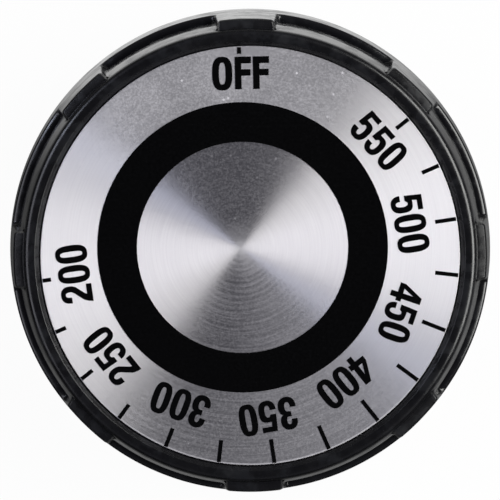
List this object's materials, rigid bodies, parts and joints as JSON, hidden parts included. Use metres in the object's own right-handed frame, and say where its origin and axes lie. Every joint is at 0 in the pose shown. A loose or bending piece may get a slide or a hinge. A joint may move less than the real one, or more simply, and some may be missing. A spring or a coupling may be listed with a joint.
{
  "type": "griddle knob",
  "caption": "Round black control knob with drafted finger grips, a flange, a spun metal dial plate with a printed temperature scale, and a hollow back with a D-bore hub.",
  "frame": {"origin": "centre of the back rim, on the shaft's axis", "axes": "+Z along the shaft out of the dial, +Y towards the OFF mark, +X to the right of the dial as read"},
  "size_m": [0.0634, 0.0634, 0.0222],
  "materials": {
    "phenolic": "moulded, semi-gloss black",
    "spun_aluminium": "spun in circles, bare",
    "black_ink": "screen-printed, satin",
    "spring_steel": "rolled strip"
  },
  "bodies": {
    "root": {"knob_body": "phenolic", "dial_plate": "spun_aluminium", "dial_print": "black_ink", "shaft_spring": "spring_steel"}
  },
  "joints": []
}
